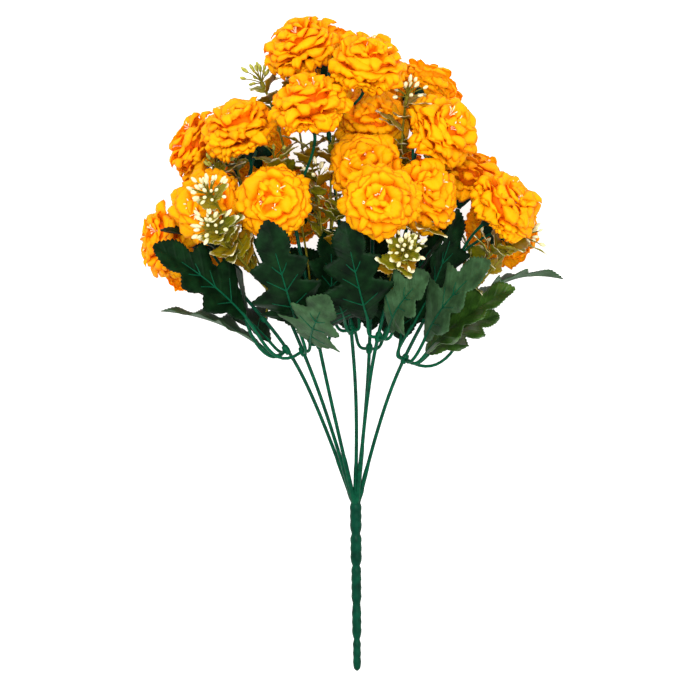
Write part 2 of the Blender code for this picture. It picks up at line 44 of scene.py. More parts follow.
# Where the pieces of the bush are. Heads are (centre, facing), leaves are (tip, facing, bow, finish), and
# the arms of a sprig are (middle of the cluster, buds in it, leaves round it, kind of bud).
bushLayout = [
    {
        "whorl": (-0.034, -0.013, 0.042),
        "fork": (-0.078, 0.044, 0.050),
        "heads": [
            ((-0.117, 0.066, 0.056), (-0.93, 0.10, 0.35)),
            ((-0.090, 0.087, 0.094), (-0.40, 0.25, 0.87)),
            ((-0.100, 0.058, 0.0134), (-0.12, 0.06, -0.99)),
        ],
        "leaves": [
            ((-0.121, 0.022, 0.036), (0.30, 0.95, 0.12), 0.005, "grey"),
            ((-0.119, 0.072, 0.084), (0.55, 0.81, 0.20), 0.017, "dark"),
            ((-0.097, 0.035, 0.009), (0.49, 0.74, 0.46), 0.004, "dark"),
        ],
        "arms": [((-0.084, 0.110, 0.072), 11, 4, "greenBud"), ((-0.074, 0.122, 0.055), 0, 5, "greenBud")],
    },
    {
        "whorl": (-0.024, -0.019, 0.058),
        "fork": (-0.066, 0.078, 0.062),
        "heads": [
            ((-0.097, 0.127, 0.048), (-0.85, 0.50, 0.10)),
            ((-0.070, 0.136, 0.088), (-0.30, 0.84, 0.45)),
            ((-0.062, 0.126, 0.0134), (-0.06, 0.10, -0.99)),
        ],
        "leaves": [
            ((-0.052, 0.077, 0.125), (0.00, -0.02, 1.00), 0.01, "dark"),
            ((-0.122, 0.062, 0.110), (0.27, 0.44, 0.86), 0.006, "dark"),
            ((-0.014, 0.031, 0.119), (-0.26, -0.17, 0.95), 0.005, "grey"),
        ],
        "arms": [
            ((-0.086, 0.092, 0.128), 28, 2, "bud"), ((-0.084, 0.072, 0.122), 26, 4, "bud"),
            ((-0.077, 0.063, 0.105), 0, 4, "bud"),
        ],
    },
    {
        "whorl": (-0.017, -0.014, 0.070),
        "fork": (-0.036, 0.080, 0.076),
        "heads": [
            ((-0.048, 0.089, 0.110), (-0.12, 0.10, 0.98)),
            ((-0.026, 0.151, 0.104), (-0.15, 0.84, 0.52)),
            ((-0.034, 0.090, 0.024), (-0.10, 0.15, -0.98)),
        ],
        "leaves": [
            ((-0.039, 0.046, 0.074), (-0.48, -0.14, 0.87), 0.005, "dark"),
            ((-0.014, 0.073, 0.081), (0.50, -0.01, 0.87), 0.004, "dark"),
            ((-0.032, 0.062, 0.046), (0.12, 0.10, 0.99), 0.005, "dark"),
        ],
        "arms": [
            ((-0.009, 0.087, 0.079), 5, 6, "bud"), ((-0.048, 0.118, 0.070), 4, 5, "greenBud"),
            ((-0.025, 0.128, 0.058), 0, 6, "bud"), ((-0.020, 0.104, 0.075), 7, 2, "bud"),
            ((-0.011, 0.131, 0.062), 0, 6, "bud"), ((-0.036, 0.106, 0.055), 0, 5, "bud"),
        ],
    },
    {
        "whorl": (0.002, -0.012, 0.051),
        "fork": (-0.014, 0.134, 0.062),
        "heads": [
            ((-0.032, 0.189, 0.074), (-0.40, 0.80, 0.45)),
            ((0.011, 0.177, 0.092), (0.14, 0.78, 0.61)),
            ((-0.014, 0.182, 0.0134), (0.00, 0.12, -0.99)),
        ],
        "leaves": [
            ((-0.042, 0.061, 0.043), (0.58, -0.45, 0.68), 0.003, "dark"),
            ((-0.012, 0.037, 0.092), (0.14, -0.20, 0.97), 0.005, "dark"),
            ((-0.001, 0.067, 0.062), (-0.02, 0.08, 1.00), 0.004, "dark"),
        ],
        "arms": [
            ((-0.056, 0.166, 0.052), 16, 5, "greenBud"), ((-0.040, 0.170, 0.045), 5, 4, "bud"),
        ],
    },
    {
        "whorl": (0.011, -0.017, 0.030),
        "fork": (0.014, 0.078, 0.044),
        "heads": [
            ((0.009, 0.112, 0.085), (-0.10, 0.25, 0.96)),
            ((0.013, 0.143, 0.055), (0.10, 0.62, 0.78)),
            ((0.022, 0.112, 0.0134), (0.05, 0.05, -1.00)),
        ],
        "leaves": [
            ((-0.019, 0.060, 0.016), (0.20, 0.10, 0.95), 0.004, "dark"),
            ((0.049, 0.059, 0.016), (-0.22, 0.20, 0.95), 0.004, "dark"),
            ((0.016, 0.078, 0.004), (0.01, 0.12, 0.99), 0.002, "dark"),
        ],
        "arms": [
            ((0.035, 0.156, 0.078), 15, 4, "bud"), ((0.052, 0.121, 0.049), 3, 5, "greenBud"),
            ((0.033, 0.132, 0.060), 0, 5, "bud"), ((0.004, 0.119, 0.052), 0, 6, "bud"),
        ],
    },
    {
        "whorl": (0.014, -0.009, 0.068),
        "fork": (0.036, 0.078, 0.070),
        "heads": [
            ((0.018, 0.089, 0.120), (0.05, -0.10, 0.99)),
            ((0.047, 0.093, 0.092), (0.50, 0.15, 0.85)),
            ((0.059, 0.136, 0.078), (0.60, 0.35, 0.72)),
            ((0.046, 0.160, 0.028), (0.20, 0.50, -0.84)),
        ],
        "leaves": [
            ((0.048, 0.044, 0.122), (-0.36, 0.36, 0.86), 0.005, "grey"),
            ((-0.004, 0.077, 0.108), (-0.09, 0.02, 1.00), 0.009, "dark"),
            ((0.061, 0.074, 0.087), (-0.76, 0.50, 0.42), 0.004, "dark"),
        ],
        "arms": [((0.033, 0.058, 0.118), 26, 4, "bud"), ((0.047, 0.079, 0.095), 3, 5, "bud")],
    },
    {
        "whorl": (0.028, -0.021, 0.047),
        "fork": (0.068, 0.056, 0.050),
        "heads": [
            ((0.098, 0.089, 0.076), (0.68, 0.57, 0.45)),
            ((0.076, 0.108, 0.040), (0.35, 0.90, 0.10)),
            ((0.096, 0.074, 0.0134), (0.12, 0.04, -0.99)),
        ],
        "leaves": [
            ((0.086, 0.052, 0.113), (-0.38, 0.48, 0.79), 0.006, "grey"),
            ((0.103, 0.036, 0.075), (-0.36, 0.70, 0.61), 0.005, "gloss"),
            ((0.094, 0.020, 0.041), (-0.23, 0.67, 0.71), 0.005, "gloss"),
            ((0.136, 0.043, 0.012), (-0.37, 0.93, 0.00), 0.016, "grey"),
            ((0.067, 0.086, 0.070), (0.75, -0.31, 0.59), 0.004, "dark"),
            ((0.035, 0.046, 0.024), (-0.08, 0.10, 0.99), 0.004, "dark"),
        ],
        "arms": [
            ((0.108, 0.068, 0.056), 13, 5, "bud"), ((0.081, 0.061, 0.042), 3, 5, "bud"),
            ((0.094, 0.064, 0.060), 0, 5, "bud"),
        ],
    },
]


# Materials

def linearColour(hexValue):                           # sRGB hex to linear light
    parts = [int(hexValue[i : i + 2], 16) / 255 for i in (1, 3, 5)]
    return tuple(c / 12.92 if c <= 0.04045 else ((c + 0.055) / 1.055) ** 2.4 for c in parts) + (1.0,)


def addNode(tree, kind, settings=None, links=None):
    node = tree.nodes.new("ShaderNode" + kind)
    for key, value in (settings or {}).items():
        if isinstance(key, str) and hasattr(node, key):
            setattr(node, key, value)
        else:
            node.inputs[key].default_value = value
    for key, socket in (links or {}).items():
        tree.links.new(socket, node.inputs[key])
    return node


def addMath(tree, operation, *values):                # each value is a number or a socket
    numbers = {i: value for i, value in enumerate(values) if isinstance(value, float)}
    sockets = {i: value for i, value in enumerate(values) if i not in numbers}
    return addNode(tree, "Math", {"operation": operation, **numbers}, sockets).outputs[0]


def addNoise(tree, size, detail, place=None):         # soft patches, this far across
    place = place or addNode(tree, "TexCoord").outputs["Object"]
    return addNode(tree, "TexNoise", {"Scale": 1 / size, "Detail": detail}, {"Vector": place}).outputs["Fac"]


def toneParts(tree, layer):                           # the numbers that a mesh keeps in its colour layer
    tone = addNode(tree, "Attribute", {"attribute_name": layer}).outputs["Color"]
    return addNode(tree, "SeparateColor", links={"Color": tone}).outputs


def fade(tree, value, start, end, most):              # rises from 0 at start to most at end
    settings = {"From Min": start, "From Max": end, "To Max": most}
    return addNode(tree, "MapRange", settings, {"Value": value}).outputs[0]


def paintOver(tree, body, hexValue, share):
    settings = {"data_type": "RGBA", 7: linearColour(hexValue)}
    return addNode(tree, "Mix", settings, {0: share, 6: body}).outputs[2]


def finishMaterial(tree, shader, colour, height, relief):
    strength, depth = relief
    bump = addNode(tree, "Bump", {"Strength": strength, "Distance": depth}, {"Height": height})
    tree.links.new(colour, shader.inputs["Base Color"])
    tree.links.new(bump.outputs["Normal"], shader.inputs["Normal"])
    return bump.outputs["Normal"]


def startMaterial(name, rough, shine, more=None):
    made = bpy.data.materials.new(name)
    made.use_nodes = True
    tree = made.node_tree
    shader = tree.nodes["Principled BSDF"]
    for key, value in {"Roughness": rough, "Specular IOR Level": shine, **(more or {})}.items():
        shader.inputs[key].default_value = value
    return made, tree, shader


def colourRamp(tree, factor, stops):
    ramp = addNode(tree, "ValToRGB", links={"Fac": factor})
    for place, hexValue in stops[1:-1]:
        ramp.color_ramp.elements.new(place)
    for element, (place, hexValue) in zip(ramp.color_ramp.elements, stops):
        element.position = place
        element.color = linearColour(hexValue)
    return ramp.outputs["Color"]


petalCloth = {
    # from a petal's foot to its edge: partly dye, partly painted shade that makes the hidden foot redder
    "stops": [(0.00, "#F04400"), (0.36, "#FF7200"), (0.60, "#FF9A00"), (0.80, "#FFB200"), (1.00, "#FFBC00")],
    # painted shade: a darker orange along each petal's edge
    "edge": "#FF8600",
    "edgeShade": (0.90, 0.75),     # where the painted shade along a petal's edge starts, and how much it covers at the end
    "rough": 0.60,
    "shine": 0.10,
    "glow": 0.42,            # share of light that passes through the cloth
    "patch": 0.003846,       # patches of weaker and stronger dye, 3.8 mm across
    "dye": 0.22,             # how far a patch of dye, a lobe's painted highlight and a petal's length move the colour; along the length it is partly a dye gradient and partly painted shade at the hidden foot
    "lobeHighlight": 0.22,
    "length": 0.88,
    "brightness": (0.90, 0.16),    # of the darkest petal, and how much more the brightest has
    "creases": (34.0, 1.6, 1.0),   # pressed in, to a petal's width and length
    "threadPitch": 0.0007,   # a real thread is 0.2 mm apart, drawn coarser so that it shows
    "threadShare": 0.25,
    "relief": (0.35, 0.0004),      # strength and depth of the bump
}


def makePetalCloth():
    # polyester satin, heat-pressed after dyeing: a matt glow, with painted shade in deep orange where petals
    # face each other and a painted highlight on each raised lobe
    look = petalCloth
    made, tree, shader = startMaterial("polyesterPetalHeatPressed", look["rough"], look["shine"])
    coords = addNode(tree, "TexCoord").outputs
    parts = toneParts(tree, "petalTone")
    mottle = addNoise(tree, look["patch"], 2.0)
    patchy = addMath(tree, "MULTIPLY_ADD", mottle, look["dye"], -look["dye"] / 2)
    # painted highlight on each raised lobe; then the petal's length, partly dye and partly painted shade at
    # its foot
    lobeHighlighted = addMath(tree, "MULTIPLY_ADD", parts["Blue"], look["lobeHighlight"], patchy)
    reach = addMath(tree, "MULTIPLY_ADD", parts["Red"], look["length"], lobeHighlighted)
    body = colourRamp(tree, reach, look["stops"])
    grid = addNode(tree, "SeparateXYZ", links={"Vector": coords["UV"]}).outputs
    # painted shade along each petal's edge
    edgeShadeStart, edgeShadeShare = look["edgeShade"]
    edgeShaded = paintOver(tree, body, look["edge"], fade(tree, grid["Y"], edgeShadeStart, 1.0, edgeShadeShare))
    darkest, more = look["brightness"]
    bright = addMath(tree, "MULTIPLY_ADD", parts["Green"], more, darkest)
    dyeAndPaintedLight = addNode(tree, "HueSaturation", links={"Color": edgeShaded, "Value": bright}).outputs["Color"]
    creasePlace = addNode(tree, "Mapping", {"Scale": look["creases"]}, {"Vector": coords["UV"]})
    creases = addNoise(tree, 1.0, 1.0, creasePlace.outputs[0])
    weave = addNode(
        tree, "TexVoronoi", {"Scale": 1 / look["threadPitch"], "Randomness": 0.35},
        {"Vector": coords["Object"]},
    )
    relief = addMath(tree, "MULTIPLY_ADD", weave.outputs["Distance"], look["threadShare"], creases)
    normal = finishMaterial(tree, shader, dyeAndPaintedLight, relief, look["relief"])
    through = addNode(tree, "BsdfTranslucent", links={"Color": dyeAndPaintedLight, "Normal": normal})
    mixed = addNode(tree, "MixShader", {0: look["glow"]}, {1: shader.outputs[0], 2: through.outputs[0]})
    tree.links.new(mixed.outputs[0], tree.nodes["Material Output"].inputs["Surface"])
    return made


leafCloth = {
    "dark": {"face": "#071B0A", "low": "#030E05", "high": "#0D2811", "rough": 0.44, "shine": 0.04},
    "grey": {"face": "#2A4528", "low": "#1D321C", "high": "#385838", "rough": 0.60, "shine": 0.12},
    "gloss": {"face": "#284614", "low": "#1A320E", "high": "#3A5E20", "rough": 0.28, "shine": 0.50},
}

leafPrint = {
    "patch": 0.007692,       # paler and darker print, 7.7 mm across
    "veins": 66.0,           # turns of a sine wave along the leaf: one fine vein every 7.6 mm
    "slant": 0.10,           # how far a vein runs towards the tip on its way out
    "veinFloor": (0.55, 0.3),      # the wave is cut off below this, and how softly
    "grain": 0.0007143,      # the real weave is finer, drawn coarser so that it shows
    "grainShare": 0.30,
    "relief": (0.50, 0.0006),
}


def makeLeafCloth(kind):
    # polyester cloth with a printed and pressed face: dull green, with fine side veins pressed in
    look = leafCloth[kind]
    made, tree, shader = startMaterial("polyesterLeafPrinted_" + kind, look["rough"], look["shine"])
    mottle = addNoise(tree, leafPrint["patch"], 4.0)
    face = colourRamp(tree, mottle, [(0.30, look["low"]), (0.50, look["face"]), (0.72, look["high"])])
    place = addNode(tree, "TexCoord").outputs["UV"]
    grid = addNode(tree, "SeparateXYZ", links={"Vector": place}).outputs
    spread = addMath(tree, "ABSOLUTE", addMath(tree, "SUBTRACT", grid["X"], 0.5))
    slanted = addMath(tree, "MULTIPLY_ADD", spread, -leafPrint["slant"], grid["Y"])
    wave = addMath(tree, "SINE", addMath(tree, "MULTIPLY", slanted, leafPrint["veins"]))
    veins = addMath(tree, "SMOOTH_MAX", wave, *leafPrint["veinFloor"])
    grain = addNoise(tree, leafPrint["grain"], 1.0)
    relief = addMath(tree, "MULTIPLY_ADD", grain, leafPrint["grainShare"], veins)
    finishMaterial(tree, shader, face, relief, leafPrint["relief"])
    return made


# name, darkest and palest colour, roughness, size of the flow marks, depth of the dents
mouldedFinishes = {
    "stem": ("polyethyleneStemMoulded", "#042D1F", "#07472F", 0.34, 0.003846, 0.0003),
    "pick": ("polyethylenePickMoulded", "#02251A", "#043B29", 0.36, 0.00625, 0.0003),       # thick, so darker
    "rib": ("polyethyleneLeafRibMoulded", "#053A25", "#084C31", 0.38, 0.0025, 0.0002),
    "calyx": ("polyethyleneCalyxMoulded", "#0A2016", "#123022", 0.42, 0.002857, 0.0003),    # nearly matt
    "twig": ("polyethyleneTwigMoulded", "#4E4A0C", "#7C7220", 0.45, 0.002857, 0.0002),      # olive, dull
    "bud": ("polyethyleneBudSprayedCream", "#C6BC86", "#E0D9B4", 0.35, 0.002, 0.0002),      # thin cream paint
    "greenBud": ("polyethyleneBudUnsprayed", "#6E7420", "#B2AE52", 0.38, 0.002, 0.0002),    # left unpainted
    "stamen": ("polyesterStamenThread", "#F6C088", "#FFE6C4", 0.55, 0.001667, 0.0001),      # stiffened thread
}


def makeMouldedPlastic(name, low, high, rough, markSize, dent):
    # injection-moulded polyethylene: slightly waxy, with flow marks and small dents
    made, tree, shader = startMaterial(name, rough, 0.04, {"IOR": 1.51})
    flow = addNoise(tree, markSize, 3.0)
    finishMaterial(tree, shader, colourRamp(tree, flow, [(0.30, low), (0.70, high)]), flow, (0.3, dent))
    return made


sprigLeafPlastic = {
    "deep": "#52560A",
    "olive": "#80760A",
    "brown": "#7C5806",
    "cream": "#E0DAB4",
    "rough": 0.42,
    "shine": 0.08,
    "patch": 0.003333,       # drifts of spray, 3.3 mm across
    "drift": (0.5, 0.35),    # how far they move the colour of the body, and the edge of the cream
    "tips": (1.00, 1.18),    # where the cream starts, and where it is full
    "relief": (0.3, 0.0003),
}


def makeSprigLeafPlastic():
    # moulded polyethylene, sprayed by hand: olive and brown with cream tips
    look = sprigLeafPlastic
    made, tree, shader = startMaterial("polyethyleneSmallLeafSprayed", look["rough"], look["shine"])
    parts = toneParts(tree, "leafTone")
    mottle = addNoise(tree, look["patch"], 3.0)
    blend, edge = [
        addMath(tree, "MULTIPLY_ADD", mottle, drift, parts[channel])
        for drift, channel in zip(look["drift"], ("Green", "Red"))
    ]
    body = colourRamp(tree, blend, [(0.25, look["deep"]), (0.60, look["olive"]), (1.0, look["brown"])])
    sprayed = paintOver(tree, body, look["cream"], fade(tree, edge, *look["tips"], 1.0))
    finishMaterial(tree, shader, sprayed, mottle, look["relief"])
    return made


finishes = {kind: makeMouldedPlastic(*look) for kind, look in mouldedFinishes.items()}
finishes |= {kind: makeLeafCloth(kind) for kind in leafCloth}
finishes |= {"petal": makePetalCloth(), "smallLeaf": makeSprigLeafPlastic()}
print("materials made:", len(finishes))


# Curves and shared shapes

def bezierPath(start, lead, arrive, end, count):
    points = []
    for i in range(count + 1):
        t = i / count
        s = 1 - t
        points.append(s**3 * start + 3 * s * s * t * lead + 3 * s * t * t * arrive + t**3 * end)
    return points


def smoothPath(knots, count):
    ends = [2 * knots[0] - knots[1], *knots, 2 * knots[-1] - knots[-2]]
    points = [knots[0]]
    for before, a, b, after in zip(ends, ends[1:], ends[2:], ends[3:]):
        points += bezierPath(a, a + (b - before) / 6, b - (after - a) / 6, b, count)[1:]
    return points


def sideways(direction):                              # two directions square to this one
    hint = Vector((0, 0, 1)) if abs(direction.z) < 0.9 else Vector((1, 0, 0))
    side = direction.cross(hint).normalized()
    return side, side.cross(direction).normalized()


def standOn(base, facing):                            # a piece made round the Z axis stands here, this way up
    return Matrix.Translation(base) @ facing.to_track_quat("Z", "Y").to_matrix().to_4x4()


def pour(bm, part, place):                            # moves a part to its place and adds it to a piece
    bmesh.ops.transform(part, matrix=place, verts=part.verts)
    mesh = bpy.data.meshes.new("part")
    part.to_mesh(mesh)
    part.free()
    bm.from_mesh(mesh)
    bpy.data.meshes.remove(mesh)


def pourStrands(bm, strands, resolution):             # round bars along paths, thick as each point says
    curve = bpy.data.curves.new("strands", "CURVE")
    curve.dimensions = "3D"
    curve.bevel_depth = 1.0
    curve.bevel_resolution = resolution
    curve.use_fill_caps = True
    for points, radii in strands:
        spline = curve.splines.new("POLY")
        spline.points.add(len(points) - 1)
        for knot, point, radius in zip(spline.points, points, radii):
            knot.co = (*point, 1.0)
            knot.radius = radius
    holder = bpy.data.objects.new("strands", curve)
    mesh = bpy.data.meshes.new_from_object(holder)
    bm.from_mesh(mesh)
    bpy.data.objects.remove(holder)
    bpy.data.curves.remove(curve)
    bpy.data.meshes.remove(mesh)


def turnedShape(profile, sides):                      # a profile of (out, up) spun round the Z axis
    bm = bmesh.new()
    verts = [bm.verts.new((out, 0.0, up)) for out, up in profile]
    edges = [bm.edges.new(pair) for pair in zip(verts, verts[1:])]
    bmesh.ops.spin(
        bm, geom=verts + edges, cent=(0, 0, 0), axis=(0, 0, 1),
        angle=2 * math.pi, steps=sides, use_merge=True,
    )
    bmesh.ops.remove_doubles(bm, verts=bm.verts, dist=1e-6)
    bmesh.ops.recalc_face_normals(bm, faces=bm.faces)
    return bm


def setFinish(part, index):
    for face in part.faces:
        face.material_index = index


def startCloth(mapName, toneName):                    # an empty mesh with a map and a colour layer
    bm = bmesh.new()
    bm.loops.layers.uv.new(mapName)
    return bm, bm.verts.layers.float_color.new(toneName)


def finishPiece(name, bm, finish, nodes, wall=0.0):
    bmesh.ops.recalc_face_normals(bm, faces=bm.faces)
    mesh = bpy.data.meshes.new(name)
    bm.to_mesh(mesh)
    bm.free()
    mesh.shade_smooth()
    for kind in finish:
        mesh.materials.append(finishes[kind])
    piece = bpy.data.objects.new(name, mesh)
    bpy.context.scene.collection.objects.link(piece)
    if wall:
        thick = piece.modifiers.new("wall", "SOLIDIFY")
        thick.thickness = wall
        thick.offset = 0.0
    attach(piece, "root")
    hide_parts(*nodes)


# Stem: a knotted pick, seven branches and the stalks that fork from them, moulded in one

mouldedStem = {
    "tip": Vector((0.004, -0.2095, 0.0019)),
    "top": Vector((0.003, -0.0990, 0.0250)),
    "joints": (0.021, 0.023, 0.026, 0.021, 0.021),   # lengths, from the tip up
    "radii": (0.00255, 0.0030, 0.0032, 0.0036, 0.0037),
    "jointSteps": 14,
    "pickSides": 24,
    "tipFlat": 0.35,                  # share of the lowest radius
    "waist": 0.78,                    # share of a joint's radius that is left between two joints
    "lowWaist": (0.05, 0.09),         # its middle and half its length, as shares of the joint above it
    "highWaist": (0.10, 0.9),         # its length as a share of the joint below it, and its depth
    "rippleLength": 0.0058,
    "rippleHeight": 0.00016,
    "crown": [(0.6, 0.0006), (0.0, 0.0008)],   # share of the last radius, height above the last joint
    "rootDepth": 0.010,               # the branches start this far inside the pick, in a ring this wide
    "rootRing": 0.0019,
    "branchRadius": 0.0012,
    "branchTaper": 0.20,
    "branchSpans": 24,
    "seatSpans": 3,                   # the coarse path that the collars are seated on
    "knobs": (0.016, 0.019),          # small rings on a branch, this far from its root
    "knobHeight": 0.00035,
    "knobHalf": 0.0022,
    "sheath": (0.034, 0.056),         # each branch is thicker up to somewhere in this range
    "sheathHeight": 0.00030,
    "sheathEdge": 0.0012,
    "forkKnot": [(-0.004, 0.0011), (-0.001, 0.0016), (0.0015, 0.0012)],   # place past the fork, radius
    "stalkRoot": 0.002,               # this far inside the fork
    "stalkEnd": 0.0123,               # this far below the petals, in the foot of the calyx
    "stalkRadius": 0.0009,
    "stalkFlare": [0.00095, 0.00105, 0.0012],
    "stalkPull": 0.30,                # how far a stalk runs on before it bends, as a share of its reach
    "stalkSpans": 16,
}


def branchPath(branch, count):
    top = mouldedStem["top"]
    axis = (top - mouldedStem["tip"]).normalized()
    whorl = Vector(branch["whorl"])
    away = whorl - top
    away -= axis * away.dot(axis)
    ring = away * min(1.0, mouldedStem["rootRing"] / away.length)
    root = top - axis * mouldedStem["rootDepth"] + ring
    return smoothPath([root, top + ring, whorl, Vector(branch["fork"])], count)


def seatPastWhorl(branch, spans):                     # middle and direction of a collar's seat on its branch
    count = mouldedStem["seatSpans"]
    path = branchPath(branch, count)
    a, b = path[2 * count + spans : 2 * count + spans + 2]
    return (a + b) / 2, (b - a).normalized()


def headBase(head):
    centre, facing = Vector(head[0]), Vector(head[1]).normalized()
    return centre - facing * marigoldHead["centreHeight"], facing


def pickProfile():
    stem = mouldedStem
    lowMiddle, lowHalf = stem["lowWaist"]
    highLength, highDepth = stem["highWaist"]
    profile = [(0.0, 0.0), (stem["radii"][0] * stem["tipFlat"], 0.0)]
    at = 0.0
    for joint, radius in zip(stem["joints"], stem["radii"]):
        for i in range(1, stem["jointSteps"] + 1):
            share = i / stem["jointSteps"]
            waist = max(0.0, 1 - abs(share - lowMiddle) / lowHalf)
            waist += max(0.0, 1 - (1 - share) / highLength) * highDepth
            ripple = math.cos(2 * math.pi * share * joint / stem["rippleLength"])
            out = radius * (1 - (1 - stem["waist"]) * min(1.0, waist))
            profile.append((out + ripple * stem["rippleHeight"], at + joint * share))
        at += joint
    return profile + [(stem["radii"][-1] * share, at + up) for share, up in stem["crown"]]


def branchRadii(path, sheathEnd):
    stem = mouldedStem
    taper = stem["branchTaper"]
    radii = []
    run = 0.0
    for i, point in enumerate(path):
        if i:
            run += (point - path[i - 1]).length
        radius = stem["branchRadius"] * (1 + taper / 2 - taper * i / (len(path) - 1))
        for knob in stem["knobs"]:
            radius += stem["knobHeight"] * max(0.0, 1 - abs(run - knob) / stem["knobHalf"])
        radius += stem["sheathHeight"] * min(1.0, max(0.0, (sheathEnd - run) / stem["sheathEdge"]))
        radii.append(radius)
    return radii


def makeStem():
    stem = mouldedStem
    knot, flare = stem["forkKnot"], stem["stalkFlare"]
    rng = random.Random(7)
    bm = bmesh.new()
    pick = turnedShape(pickProfile(), stem["pickSides"])
    setFinish(pick, 1)
    pour(bm, pick, standOn(stem["tip"], (stem["top"] - stem["tip"]).normalized()))
    strands = []
    for branch in bushLayout:
        path = branchPath(branch, stem["branchSpans"])
        strands.append((path, branchRadii(path, rng.uniform(*stem["sheath"]))))
        fork, onward = path[-1], (path[-1] - path[-2]).normalized()
        strands.append(([fork + onward * past for past, radius in knot], [radius for past, radius in knot]))
        root = fork - onward * stem["stalkRoot"]
        for head in branch["heads"]:
            base, facing = headBase(head)
            end = base - facing * stem["stalkEnd"]
            pull = (end - root).length * stem["stalkPull"]
            stalk = bezierPath(root, root + onward * pull, end - facing * pull, end, stem["stalkSpans"])
            strands.append((stalk, [stem["stalkRadius"]] * (len(stalk) - len(flare)) + flare))
    pourStrands(bm, strands, resolution=3)
    finishPiece("mouldedStem", bm, ["stem", "pick"], ["stem"])
    print("stem made")


# Flower heads: petals in a spiral over a dome, from its crown down to its rim, as shares of the head's radius

marigoldHead = {
    "radius": 0.0235,
    "centreHeight": 0.010,
    "petals": 44,
    "firstPetal": 0.35,            # how far the first one is from the top of the spiral
    "spiralTurn": 2.39996,         # the angle from one petal to the next
    "turnSlack": 0.22,             # how far a petal's turn strays
    "under": [(0.84, 0.03, 11), (0.64, 0.05, 9)],   # shorter petals below: their length, drop and number
    "underSlack": 0.25,
    "rim": math.radians(113),
    "domeOut": 0.97,
    "domeUp": (0.26, 0.80),        # height of the dome's middle, and how far the crown stands above it
    "lift": 0.052,                 # how far a petal's tip stands off the dome, times a draw from the range
    "liftRange": (-1.0, 0.7),
    "drift": 0.08,                 # how far it strays along the dome
    "closing": (0.30, 9),          # how far the innermost ninth of the petals leans over the middle
    "footOut": (0.25, 0.10),       # a petal's foot: share of its tip's reach, less this much at the crown
    "footUp": (0.10, 0.36),        # its height at the rim, and how much higher it is at the crown
    "shoulder": 0.26,              # how far before its tip a petal starts to turn over
    "belly": (0.45, 0.06),         # where it swells between foot and shoulder, and how far
    "arch": 0.07,
    "archRange": (0.5, 1.5),
    "lip": 0.11,                   # how far a petal's edge curls under
    "lipRange": (0.2, 1.5),
    "tightest": 0.42,              # radius below which no petal is bent about the head's axis
    "halfWidth": (0.34, 0.54),
    "footWidth": 0.30,             # a petal's width at its foot
    "fullWidthAt": 0.75,
    "lobes": (1, 2, 2, 2, 3),      # numbers of lobes to draw from
    "lobeLift": (-0.06, 0.11),     # how far a lobe stands below or above its neighbours
    "notch": 0.19,                 # how deep the edge is cut between two lobes
    "shorter": 0.09,               # how much one lobe may be shorter than the next
    "corner": 0.10,                # how far the edge's two corners are cut back
    "skew": 0.25,                  # how unlike in width the lobes are
    "pillow": 0.088,               # how far each lobe swells
    "pillowRange": (0.7, 1.4),
    "tilt": 0.15,                  # how far a petal is turned about its own length
    "slant": 0.16,                 # how much longer one side is than the other
    "cup": 0.13,                   # how far its sides fall back
    "fray": (0.006, 47),           # height and turns across a petal, as for the ruffles
    "ruffle": (0.025, 4.2),
    "fineRuffle": (0.7, 17),       # the height is a share of the ruffle's
    "backs": (0.6, 0.7),           # from this share down, petals show their backs, which are no redder
    "backRuffle": (0.07, 13),
    "waveRise": 1.6,               # the higher, the nearer to the edge the waves start
    "apart": (3.7, 1.9),           # each head takes another part of the noise, so no two look alike
    "crumple": (0.088, 0.45),      # how far the whole head is pushed about, and at what scale
    "crumpleRise": 1.3,            # the deep inside of a head is pushed less
    "crinkle": (0.022, 0.14),      # the same on a finer scale, as pressed cloth creases
    "heart": {"up": 0.45, "out": 0.56, "tall": 0.40, "tone": 0.40},   # the rolled petals deep inside
    "cloth": 0.00025,
    "columns": 24,
    "rows": 9,
    "floorGap": 0.0002,
}


